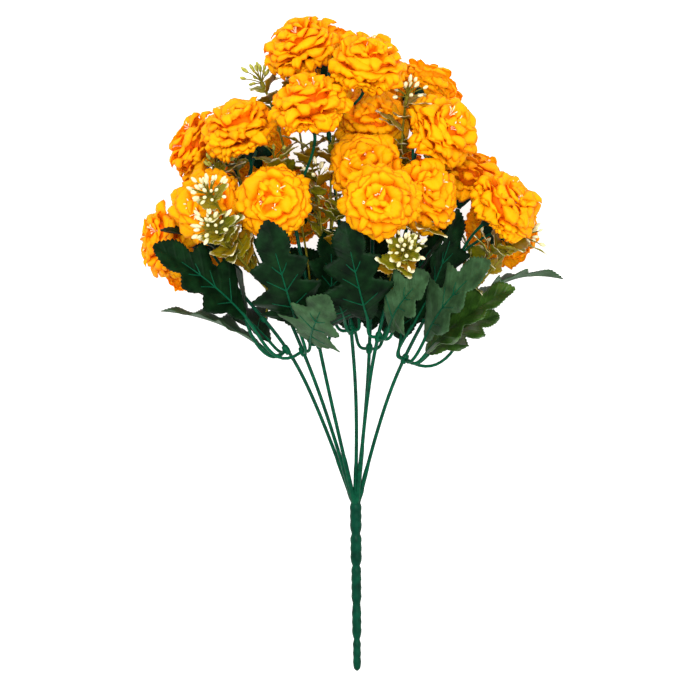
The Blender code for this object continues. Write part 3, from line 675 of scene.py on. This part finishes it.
def addPetal(bm, tone, share, turn, rng, size=1.0, drop=0.0):
    head = marigoldHead
    polar = math.acos(1 - share * (1 - math.cos(head["rim"])))
    middle, rise = head["domeUp"]
    normal = Vector((math.sin(polar), math.cos(polar)))
    tangent = Vector((math.cos(polar), -math.sin(polar)))
    tip = Vector((math.sin(polar) * head["domeOut"] * size, middle + math.cos(polar) * rise - drop))
    bend = max(head["tightest"], tip.x)
    off = normal * rng.uniform(*head["liftRange"]) * head["lift"]
    tip += off + tangent * rng.uniform(-head["drift"], head["drift"])
    tip.x -= head["closing"][0] * max(0.0, 1 - share * head["closing"][1])
    footOut = tip.x * head["footOut"][0] - head["footOut"][1] * (1 - share)
    footUp = max(0.0, head["footUp"][0] + head["footUp"][1] * math.cos(polar))
    a = Vector((footOut, footUp))                    # a to d: the petal's middle line, from foot to lip
    c = tip - tangent * head["shoulder"] + normal * head["arch"] * rng.uniform(*head["archRange"])
    b = a.lerp(c, head["belly"][0]) + normal * head["belly"][1]
    d = tip - normal * head["lip"] * rng.uniform(*head["lipRange"])
    half = rng.uniform(*head["halfWidth"])
    lobes = rng.choice(head["lobes"])
    raised = [rng.uniform(*head["lobeLift"]) for i in range(lobes)]
    shorter = [rng.uniform(0.0, head["shorter"]) for i in range(lobes)]
    skew = rng.uniform(-head["skew"], head["skew"])
    waveTurn = rng.uniform(0, 2 * math.pi)
    pillow = head["pillow"] * rng.uniform(*head["pillowRange"])
    tilt = rng.uniform(-1, 1) * head["tilt"]
    slant = rng.uniform(-1, 1) * head["slant"]
    shade = rng.random()
    backStart, backMost = head["backs"]
    outer = backMost * max(0.0, share - backStart) / (1 - backStart)
    backRuffle, backTurns = head["backRuffle"]
    fray, frayTurns = head["fray"]
    ruffleHeight, ruffleTurns = head["ruffle"]
    fineShare, fineTurns = head["fineRuffle"]
    grid = bmesh.ops.create_grid(
        bm, x_segments=round(head["columns"] * size), y_segments=head["rows"], size=1.0, calc_uvs=True
    )["verts"]
    for vert in grid:
        u, v = vert.co.x, (vert.co.y + 1) / 2        # across the petal, and from foot to edge
        place = (u + skew * (1 - u * u) + 1) / 2 * lobes
        which = min(int(place), lobes - 1)
        across = (place - which) * 2 - 1
        swell = math.sqrt(max(0.0, 1 - across * across))
        trim = head["notch"] * (1 - swell) + shorter[which] * swell + head["corner"] * abs(u) ** 3 + slant * u
        t = v * (1 - trim + fray * math.sin(u * frayTurns + waveTurn))
        s = 1 - t
        point = s**3 * a + 3 * s * s * t * b + 3 * s * t * t * c + t**3 * d
        slope = (s * s * (b - a) + 2 * s * t * (c - b) + t * t * (d - c)).normalized()
        out = Vector((-slope.y, slope.x))
        ruffle = math.sin(ruffleTurns * u + waveTurn)
        ruffle += fineShare * math.sin(fineTurns * u + waveTurn * 3) * t * t
        wave = swell * (pillow + raised[which]) + ruffle * ruffleHeight + u * tilt
        point += out * (wave * t ** (head["waveRise"] - outer) - head["cup"] * u * u * t)
        point += out * outer * backRuffle * math.sin(backTurns * u + waveTurn) * t
        grown = math.sin(min(1.0, t / head["fullWidthAt"]) * math.pi / 2)
        swing = u * half * (head["footWidth"] + (1 - head["footWidth"]) * grown) / bend
        flat = Vector((point.x + bend * (math.cos(swing) - 1), bend * math.sin(swing), point.y))
        vert.co = Matrix.Rotation(turn, 3, "Z") @ flat
        # red: foot to edge, partly dye and partly painted shade; blue: a lobe's swelling, drawn as a painted
        # highlight
        vert[tone] = (t + outer * (1 - t), shade, swell, 1.0)


def makeHead(number, head):
    look, heart = marigoldHead, marigoldHead["heart"]
    rng = random.Random(number)
    bm, tone = startCloth("petalMap", "petalTone")
    start = rng.uniform(0, 2 * math.pi)
    shape = Matrix.Diagonal((heart["out"], heart["out"], heart["tall"], 1))
    shape = Matrix.Translation((0, 0, heart["up"])) @ shape
    for vert in bmesh.ops.create_icosphere(bm, subdivisions=4, radius=1.0, matrix=shape)["verts"]:
        # the heart sits low on the ramp, with the petals' feet: partly dye, partly painted shade
        vert[tone] = (heart["tone"], 0.5, 0.5, 1.0)
    for i in range(look["petals"]):
        turn = start + i * look["spiralTurn"] + rng.uniform(-look["turnSlack"], look["turnSlack"])
        addPetal(bm, tone, (i + look["firstPetal"]) / look["petals"], turn, rng)
    for size, drop, count in look["under"]:
        for i in range(count):
            slack = rng.uniform(-look["underSlack"], look["underSlack"])
            addPetal(bm, tone, 1.0, start + 2 * math.pi * (i + slack) / count, rng, size, drop)
    apart, along = look["apart"]
    away = Vector((number * apart, number * along, 0.0))
    crumple, crumpleSize = look["crumple"]
    crinkle, crinkleSize = look["crinkle"]
    for vert in bm.verts:
        push = noise.noise_vector(vert.co / crumpleSize + away)
        fine = noise.noise_vector(vert.co / crinkleSize + away)
        vert.co += push * crumple * min(1.0, vert.co.length * look["crumpleRise"])
        vert.co += fine * crinkle
    base, facing = headBase(head)
    place = standOn(base, facing) @ Matrix.Scale(look["radius"], 4)
    bmesh.ops.transform(bm, matrix=place, verts=bm.verts)
    for vert in bm.verts:
        vert.co.z = max(vert.co.z, look["floorGap"])
    node = f"flower_{number:02d}"
    finishPiece(f"petals_{number:02d}", bm, ["petal"], [node], look["cloth"])


stamenTufts = {
    "tufts": 3,
    "threads": 5,
    "radius": 0.00022,
    "clubRadius": 0.00040,
    "clubTip": 0.6,
    "slack": 0.25,
    "ring": (0.10, 0.34),    # how far the tufts stand from the middle of the head
    "foot": Vector((0, 0, 0.62)),
    "rise": Vector((0, 0, 0.2)),
    "spread": 0.16,          # how far a thread leans, and how much of that is away from the middle
    "outward": 0.06,
    "top": 1.12,             # the highest club, and the shares of it that the others reach
    "length": (0.88, 1.0),
    "dome": 0.1,             # how much lower the clubs are that stand further out
    "spans": 6,
    "floorGap": 0.0008,      # threads that would reach the surface are left out
}


def makeStamens(number, head):
    tufts = stamenTufts
    thin, club, spread = tufts["radius"], tufts["clubRadius"], tufts["spread"]
    rng = random.Random(500 + number)
    base, facing = headBase(head)
    place = standOn(base, facing) @ Matrix.Scale(marigoldHead["radius"], 4)
    strands = []
    begin = rng.uniform(0, 2 * math.pi)
    for tuft in range(tufts["tufts"]):
        turn = begin + 2 * math.pi * (tuft + rng.uniform(-tufts["slack"], tufts["slack"])) / tufts["tufts"]
        way = Vector((math.cos(turn), math.sin(turn), 0))
        foot = way * rng.uniform(*tufts["ring"]) + tufts["foot"]
        for i in range(tufts["threads"]):
            lean = Vector((rng.uniform(-spread, spread), rng.uniform(-spread, spread), 0))
            lean += way * tufts["outward"]
            top = tufts["top"] * rng.uniform(*tufts["length"]) - foot.length * tufts["dome"]
            end = Vector((foot.x, foot.y, top)) + lean
            points = bezierPath(foot, foot + tufts["rise"], end - lean * 0.5, end, tufts["spans"])
            points = [place @ point for point in points]
            if min(point.z for point in points) > tufts["floorGap"]:
                strands.append((points, [thin] * (len(points) - 2) + [club, club * tufts["clubTip"]]))
    if strands:
        bm = bmesh.new()
        pourStrands(bm, strands, resolution=1)
        finishPiece(f"stamens_{number:02d}", bm, ["stamen"], [f"flower_{number:02d}"])


# Calyx: the moulded cup with pointed sepals, as (out, up) from the bottom of the petals

sepalCup = {
    "sepals": 5,
    "sides": 40,
    "foot": (0.0019, -0.0120),
    "footSteps": [(0.92, 0.0), (1.0, 0.0004), (1.15, 0.0014)],   # share of the foot's radius, height above it
    "waist": (0.0033, -0.0090),
    "rim": (0.0058, -0.0046),
    "rimWave": 0.04,
    "notch": (0.0062, -0.0030),
    "tip": (0.0118, -0.0018),
    "sharpness": 1.5,        # of the sepals' points
    "sepalSteps": [(0.5, 1.5), (1.0, 1.0), (1.0, 0.0), (0.45, 0.0)],   # share of a sepal, wall below it
    "thickness": 0.0005,
    "seat": (0.0050, -0.0006),   # the petals sit on this
}


def cupOutline(turn):                                 # from foot to seat, at one place round the cup
    cup = sepalCup
    out, up = cup["foot"]
    outline = [(out * share, up + above) for share, above in cup["footSteps"]]
    rimShare = 1 - cup["rimWave"] + cup["rimWave"] * math.cos(turn * cup["sepals"])
    outline += [cup["waist"], (cup["rim"][0] * rimShare, cup["rim"][1])]
    for fill, below in cup["sepalSteps"]:
        reach = abs(math.cos(turn * cup["sepals"] / 2)) ** cup["sharpness"] * fill
        out, up = [notch + (tip - notch) * reach for notch, tip in zip(cup["notch"], cup["tip"])]
        outline.append((out, up - cup["thickness"] * below))
    return outline + [cup["seat"]]


def makeCalyx(number, head):
    bm = bmesh.new()
    ring = bmesh.ops.create_circle(bm, segments=sepalCup["sides"], radius=1.0, cap_ends=True)["verts"]

    def ringEdges():
        return [edge for edge in bm.edges if edge.verts[0] in ring and edge.verts[1] in ring]

    for step in range(len(cupOutline(0.0))):
        if step:
            grown = bmesh.ops.extrude_edge_only(bm, edges=ringEdges())["geom"]
            ring = [item for item in grown if isinstance(item, bmesh.types.BMVert)]
        for vert in ring:
            turn = math.atan2(vert.co.y, vert.co.x)
            out, up = cupOutline(turn)[step]
            vert.co = (math.cos(turn) * out, math.sin(turn) * out, up)
    bmesh.ops.edgeloop_fill(bm, edges=ringEdges())
    base, facing = headBase(head)
    bmesh.ops.transform(bm, matrix=standOn(base, facing), verts=bm.verts)
    finishPiece(f"sepalCup_{number:02d}", bm, ["calyx"], [f"calyx_{number:02d}"])


def makeFlowers():
    heads = [head for branch in bushLayout for head in branch["heads"]]
    for number, head in enumerate(heads, start=1):
        makeHead(number, head)
        makeStamens(number, head)
        makeCalyx(number, head)
    print("flowers made:", len(heads))


# Leaves: a cloth blade with lobes and small teeth, on a moulded rib that loops out of a collar

leafBlade = {
    "length": 0.080,
    "width": 0.046,
    "fold": math.radians(14),
    # along the midrib, along the leaf at the edge, share of the half width
    "stations": [
        (0.00, 0.00, 0.07), (0.14, 0.20, 0.40), (0.26, 0.43, 1.00), (0.38, 0.47, 0.41),
        (0.50, 0.67, 0.80), (0.63, 0.71, 0.34), (0.83, 0.88, 0.42), (0.94, 0.965, 0.19), (1.00, 1.00, 0.00),
    ],
    "bulge": 0.07,
    "tooth": 0.0011,
    "rows": 84,
    "columns": 12,
    "wave": 0.0014,
    "pleat": (0.0012, 26.2, 0.42),   # how high, how close, and the middle of the first lobe
    "cloth": 0.0004,
}

leafRib = {
    "shortest": 0.012,       # of a petiole
    "standOff": 0.4,         # how far out of the branch it holds the blade, as a share of that
    "petiole": 0.00105,      # its radius
    "sunk": 0.7,             # it starts this far out in the collar's wall
    "foot": (0.03, 0.06),    # it meets the blade here, and runs on in line with it
    "loop": (0.55, 0.45),    # how far it is pulled out of the collar, and back from the blade
    "dip": (0.16, 0.004),    # how far its loop hangs down, and at most
    "loopSpans": 12,
    "midribEnd": 0.74,
    "midribTaper": (0.80, 0.58),
    "midribHeight": 0.0006,
    "midribSpans": 16,
    "proud": 0.35,           # share of its height that a rib stands off the cloth
    "sideRibs": [(0.19, 0.25, 0.60), (0.38, 0.45, 0.62), (0.55, 0.60, 0.50)],  # start, end, share of width
    "sideRadius": 0.00045,
    "sideTaper": 0.55,
    "sideHeight": 0.0003,
    "sideSpans": 6,
    "sideShare": 0.75,       # how many of the side ribs show
    "sideLength": (0.75, 1.1),
    "collar": {"bore": 0.0014, "radius": 0.0022, "length": 0.0062},
}

bladeForm = {                # what large and small leaves have in common
    "waveTurns": 15.0,
    "waveStart": (0.0, 6.28),
    "foldAtRib": 1.15,       # the fold is steeper at the rib and eases towards the edge
    "foldEase": 0.35,
    "longestStep": 0.1,      # stations further apart than this along the edge are joined by a bulge
    "toothRows": 3,          # a tooth grows over three rows of the mesh, then drops back
    "toothStart": 6,         # the higher, the nearer to the edge the teeth start
    "edgeTone": 0.86,
}


def leafFrame(base, tip, facing, bow):                # a bowed midrib from base to tip, facing this way
    chord = tip - base
    square = (facing - chord * facing.dot(chord) / chord.length_squared).normalized()
    control = (base + tip) / 2 + square * bow * 2

    def at(t):
        point = (1 - t) ** 2 * base + 2 * t * (1 - t) * control + t * t * tip
        along = ((1 - t) * (control - base) + t * (tip - control)).normalized()
        normal = (square - along * square.dot(along)).normalized()
        return point, along.cross(normal), normal

    return at


def stationAt(look, t):                               # place along the edge, and share of the half width
    for (a0, b0, c0), (a1, b1, c1) in zip(look["stations"], look["stations"][1:]):
        if t <= a1:
            share = (t - a0) / (a1 - a0)
            swells = c1 > c0 or b1 - b0 > bladeForm["longestStep"]
            grow = math.sin(share * math.pi) * look["bulge"] if swells else 0.0
            return b0 + (b1 - b0) * share, c0 + (c1 - c0) * share + grow
    return 1.0, 0.0


def bladeSurface(at, look, width, waveTurn):
    pleatHeight, pleatTurns, pleatMiddle = look["pleat"]

    def spot(t, u):
        out, share = stationAt(look, t)
        reach = abs(u)
        point, side, normal = at(t + (out - t) * reach)
        half = share * width / 2 * reach
        hand = 1 if u > 0 else -1
        lift = math.sin(out * bladeForm["waveTurns"] + waveTurn * hand) * look["wave"]
        lift += math.cos((out - pleatMiddle) * pleatTurns) * pleatHeight
        lift *= reach * reach * share
        bend = look["fold"] * (bladeForm["foldAtRib"] - bladeForm["foldEase"] * reach)
        spread = side * hand * math.cos(bend) + normal * math.sin(bend)
        return point + spread * half + normal * lift, normal

    return spot


def addBlade(bm, spot, look, tone, shade):
    rows, teeth = look["rows"], bladeForm["toothRows"]
    grid = bmesh.ops.create_grid(
        bm, x_segments=look["columns"], y_segments=rows, size=1.0, calc_uvs=True
    )["verts"]
    for vert in grid:
        u, t = vert.co.x, (vert.co.y + 1) / 2
        cut = round(t * rows) % teeth / (teeth - 1)
        point = spot(t, u)[0]
        outward = (point - spot(t, 0.0)[0]).normalized()
        vert.co = point + outward * look["tooth"] * cut * abs(u) ** bladeForm["toothStart"]
        vert[tone] = (max(t, abs(u) * bladeForm["edgeTone"]), shade, abs(u), 1.0)
    return grid


def leafBase(middle, axis, tip):
    towards = tip - middle
    outward = (towards - axis * towards.dot(axis)).normalized()
    petiole = max(leafRib["shortest"], towards.length - leafBlade["length"])
    base = middle + towards.normalized() * petiole + outward * leafRib["shortest"] * leafRib["standOff"]
    return base, outward


# a collar's outside from below to above, as shares of its radius and of half its length
collarShape = [(0.72, -1.0), (0.84, -0.80), (1.0, -0.20), (1.0, 0.45), (0.90, 0.80), (0.72, 1.0)]


def makeCollar(collar, middle, axis, bm, finish):
    half = collar["length"] / 2
    low, high = (collar["bore"], -half), (collar["bore"], half)
    outside = [(collar["radius"] * out, half * up) for out, up in collarShape]
    ring = turnedShape([low, *outside, high, low], 20)
    setFinish(ring, finish)
    pour(bm, ring, standOn(middle, axis))


def addRibs(strands, spot, hand, root, outward, axis, rng):
    rib = leafRib

    def onBlade(t, u, height):
        point, normal = spot(t, u)
        return point + normal * hand * (leafBlade["cloth"] * 0.5 + height * rib["proud"])

    foot, past = rib["foot"]
    first = onBlade(foot, 0.0, rib["petiole"])
    along = (onBlade(past, 0.0, rib["petiole"]) - first).normalized()
    reach = (first - root).length
    hang, deepest = rib["dip"]
    dip = outward * reach * rib["loop"][0] - axis * min(reach * hang, deepest)
    loop = bezierPath(root, root + dip, first - along * reach * rib["loop"][1], first, rib["loopSpans"])
    thick = [rib["petiole"]] * len(loop)
    full, taper = rib["midribTaper"]
    for i in range(1, rib["midribSpans"] + 1):
        t = foot + (rib["midribEnd"] - foot) * i / rib["midribSpans"]
        loop.append(onBlade(t, 0.0, rib["midribHeight"]))
        thick.append(rib["petiole"] * (full - taper * i / rib["midribSpans"]))
    strands.append((loop, thick))
    for start, end, share in rib["sideRibs"]:
        for way in (-1, 1):
            if rng.random() > rib["sideShare"]:
                continue
            share *= rng.uniform(*rib["sideLength"])
            points, radii = [], []
            for i in range(rib["sideSpans"] + 1):
                step = i / rib["sideSpans"]
                points.append(onBlade(start + (end - start) * step, way * share * step, rib["sideHeight"]))
                radii.append(rib["sideRadius"] * (1 - rib["sideTaper"] * i / rib["sideSpans"]))
            strands.append((points, radii))


def makeWhorl(number, branch):
    rng = random.Random(200 + number)
    middle, axis = seatPastWhorl(branch, 0)
    node = f"leaf_whorl_{number}"
    ribs = bmesh.new()
    makeCollar(leafRib["collar"], middle, axis, ribs, 0)
    wallOut = leafRib["collar"]["radius"] * leafRib["sunk"]
    cloth, tone = startCloth("leafMap", "leafTone")
    kinds = list(leafCloth)
    strands = []
    for tip, facing, bow, kind in branch["leaves"]:
        tip, facing = Vector(tip), Vector(facing).normalized()
        base, outward = leafBase(middle, axis, tip)
        at = leafFrame(base, tip, facing, bow)
        spot = bladeSurface(at, leafBlade, leafBlade["width"], rng.uniform(*bladeForm["waveStart"]))
        for vert in addBlade(cloth, spot, leafBlade, tone, rng.random()):
            for face in vert.link_faces:
                face.material_index = kinds.index(kind)
        hand = -1 if kind == "gloss" else 1          # the glossy leaves show their smooth side
        addRibs(strands, spot, hand, middle + outward * wallOut, outward, axis, rng)
    pourStrands(ribs, strands, resolution=2)
    finishPiece(f"leafRibs_{number}", ribs, ["rib"], [node])
    finishPiece(f"leafBlades_{number}", cloth, kinds, [node], leafBlade["cloth"])


# Sprigs: olive twigs with small serrated leaves and clusters of cream buds

sprigTwig = {
    "collar": {"bore": 0.0014, "radius": 0.0020, "length": 0.0040},
    "sunk": 0.8,
    "arm": 0.0007,
    "armLead": (0.25, 0.15), # how far an arm is pulled out of the collar, and along the branch
    "armArrive": 0.35,
    "armSpans": 20,
    "hub": 0.0013,
    "hubShape": (0.7, 1.0, 0.4),
    "lowLeaves": (4, 11, 2), # more leaves down each twig: how many, from which point on it, and their spacing
}

sprigLeaf = {
    "length": 0.0182,
    "longer": (0.75, 1.2),
    "width": 0.0110,
    "wider": (0.8, 1.15),
    "fold": math.radians(11),
    "bow": 0.001,
    "lean": (0.2, 0.7),      # how far a leaf leans towards the end of its twig
    "turnSlack": 0.4,
    "stations": [(0.00, 0.00, 0.20), (0.35, 0.40, 1.00), (0.65, 0.66, 0.60), (1.00, 1.00, 0.00)],
    "bulge": 0.12,
    "tooth": 0.0007,
    "rows": 24,
    "columns": 6,
    "wave": 0.0006,
    "pleat": (0.0, 0.0, 0.0),
    "cloth": 0.0004,
    "rib": (0.0005, 0.00005),      # its radius, and how much of it goes at each step
    "ribEnd": 0.8,
    "ribProud": 0.0003,
    "ribSpans": 6,
    "lowestTip": 0.002,
}

sprigBud = {
    "shape": [(0.0, 0.0), (0.0007, 0.0002), (0.0011, 0.0010), (0.0014, 0.0022), (0.0013, 0.0032),
              (0.0008, 0.0043), (0.0, 0.0050)],
    "sides": 10,
    "size": (0.65, 0.95),
    "longer": (0.9, 1.4),
    "sunk": 0.0002,
    "turn": 0.382,           # of a full turn, from one bud to the next
    "lean": (0.15, 1.45),    # angle of the first bud, and how much further the last one leans
    "stalk": (0.0050, 0.0125),
    "stalkRadius": 0.00035,
    "stalkLead": 0.002,
    "stalkBow": 0.0012,
    "stalkSpans": 6,
}


def addSprigLeaf(leaves, strands, tone, start, out, heading, rng):
    look = sprigLeaf
    lean = heading * rng.uniform(*look["lean"])
    tip = start + (out + lean).normalized() * look["length"] * rng.uniform(*look["longer"])
    tip.z = max(tip.z, look["lowestTip"])
    at = leafFrame(start, tip, heading, look["bow"])
    width = look["width"] * rng.uniform(*look["wider"])
    spot = bladeSurface(at, look, width, rng.uniform(*bladeForm["waveStart"]))
    addBlade(leaves, spot, look, tone, rng.random())
    radius, taper = look["rib"]
    points, radii = [start], [radius]
    for i in range(1, look["ribSpans"] + 1):
        point, normal = spot(look["ribEnd"] * i / look["ribSpans"], 0.0)
        points.append(point + normal * look["ribProud"])
        radii.append(radius - taper * i)
    strands.append((points, radii))


def addSprigBud(buds, strands, finish, centre, out, direction, rng):
    look = sprigBud
    start = centre + direction * look["sunk"]
    end = start + direction * rng.uniform(*look["stalk"])
    bow, lead = out * look["stalkBow"], direction * look["stalkLead"]
    stalk = bezierPath(start, start + lead - bow, end - lead - bow, end, look["stalkSpans"])
    strands.append((stalk, [look["stalkRadius"]] * len(stalk)))
    size, longer = rng.uniform(*look["size"]), rng.uniform(*look["longer"])
    part = turnedShape([(wide * size, up * size * longer) for wide, up in look["shape"]], look["sides"])
    setFinish(part, finish)
    pour(buds, part, standOn(end - direction * look["sunk"], direction))


def makeSprig(number, branch):
    twig = sprigTwig
    rng = random.Random(100 + number)
    middle, axis = seatPastWhorl(branch, 1)
    node = f"sprig_{number}"
    twigs = bmesh.new()
    makeCollar(twig["collar"], middle, axis, twigs, 1)   # green like the branch it sits on
    wallOut = twig["collar"]["radius"] * twig["sunk"]
    leaves, tone = startCloth("leafMap", "leafTone")
    buds = bmesh.new()
    budKinds = ["bud", "greenBud"]
    lowLeaves, lowest, spacing = twig["lowLeaves"]
    outLead, axisLead = twig["armLead"]
    firstLean, moreLean = sprigBud["lean"]
    strands = []
    for centre, budCount, leafCount, budKind in branch["arms"]:
        centre = Vector(centre)
        towards = (centre - middle).normalized()
        outward = (towards - axis * towards.dot(axis)).normalized()
        root = middle + outward * wallOut
        reach = (centre - root).length
        lead = root + outward * reach * outLead + axis * reach * axisLead
        path = bezierPath(root, lead, centre - towards * reach * twig["armArrive"], centre, twig["armSpans"])
        heading = (path[-1] - path[-2]).normalized()
        hub = [twig["hub"] * share for share in twig["hubShape"]]
        strands.append((path + [centre + heading * twig["hub"]], [twig["arm"]] * (len(path) - 2) + hub))
        side, up = sideways(heading)

        def around(turn):
            return side * math.cos(turn) + up * math.sin(turn)

        for i in range(leafCount):
            turn = 2 * math.pi * (i + rng.random() * sprigLeaf["turnSlack"]) / leafCount
            addSprigLeaf(leaves, strands, tone, path[-2 - i % 3], around(turn), heading, rng)
        for i in range(lowLeaves):
            turn = rng.uniform(0, 2 * math.pi)
            addSprigLeaf(leaves, strands, tone, path[lowest + spacing * i], around(turn), heading, rng)
        for i in range(budCount):
            lean = firstLean + moreLean * i / budCount
            out = around(2 * math.pi * i * sprigBud["turn"])
            direction = (heading * math.cos(lean) + out * math.sin(lean)).normalized()
            addSprigBud(buds, strands, budKinds.index(budKind), centre, out, direction, rng)
    pourStrands(twigs, strands, resolution=1)
    finishPiece(f"twigs_{number}", twigs, ["twig", "rib"], [node])
    finishPiece(f"smallLeaves_{number}", leaves, ["smallLeaf"], [node], sprigLeaf["cloth"])
    finishPiece(f"buds_{number}", buds, budKinds, [node])


def makeFoliage():
    for number, branch in enumerate(bushLayout, start=1):
        makeWhorl(number, branch)
        makeSprig(number, branch)
    print("leaves and sprigs made")


# Floor, light and camera

studio = {
    "floor": "#B6B6B4",
    "floorGlow": 0.80,
    "floorHalf": 6.0,
    "sky": 0.95,
    # name, place, diameter and power
    "lamps": [
        ("key", (-0.5, 1.1, 1.9), 1.0, 20.0),
        ("fill", (0.9, -0.5, 2.0), 1.4, 14.0),
        ("front", (0.0, 0.1, 2.6), 1.2, 54.0),
    ],
    "camera": (-0.0006, -0.0026, 2.45),
    "focal": 195.0,
}


def addSoftLight(name, place, size, power):
    lamp = bpy.data.lights.new(name, "AREA")
    lamp.shape = "DISK"
    lamp.size = size
    lamp.energy = power
    holder = bpy.data.objects.new(name, lamp)
    holder.location = place
    holder.rotation_euler = Vector(place).to_track_quat("Z", "Y").to_euler()   # aimed at the bush
    bpy.context.scene.collection.objects.link(holder)


def makeStudio():
    white = (1.0, 1.0, 1.0, 1.0)
    bm = bmesh.new()
    bmesh.ops.create_grid(bm, x_segments=1, y_segments=1, size=studio["floorHalf"])
    mesh = bpy.data.meshes.new("floor")
    bm.to_mesh(mesh)
    bm.free()
    glow = {"Emission Color": white, "Emission Strength": studio["floorGlow"]}
    colour = {"Base Color": linearColour(studio["floor"])}
    paper = startMaterial("acrylicLightTableMatt", 0.9, 0.5, colour | glow)[0]   # lit from below
    mesh.materials.append(paper)
    floor = bpy.data.objects.new("floor", mesh)
    bpy.context.scene.collection.objects.link(floor)
    world = bpy.data.worlds.new("studio")
    world.use_nodes = True
    sky = world.node_tree.nodes["Background"]
    sky.inputs["Color"].default_value = white
    sky.inputs["Strength"].default_value = studio["sky"]
    bpy.context.scene.world = world
    for lamp in studio["lamps"]:
        addSoftLight(*lamp)
    lens = bpy.data.cameras.new("camera")
    lens.lens = studio["focal"]
    lens.sensor_width = 36.0
    lens.clip_end = 20.0
    camera = bpy.data.objects.new("camera", lens)
    camera.location = studio["camera"]                # looks straight down
    bpy.context.scene.collection.objects.link(camera)
    bpy.context.scene.camera = camera
    bpy.context.scene.view_settings.view_transform = "Standard"
    print("studio made")


makeStem()
makeFlowers()
makeFoliage()
makeStudio()
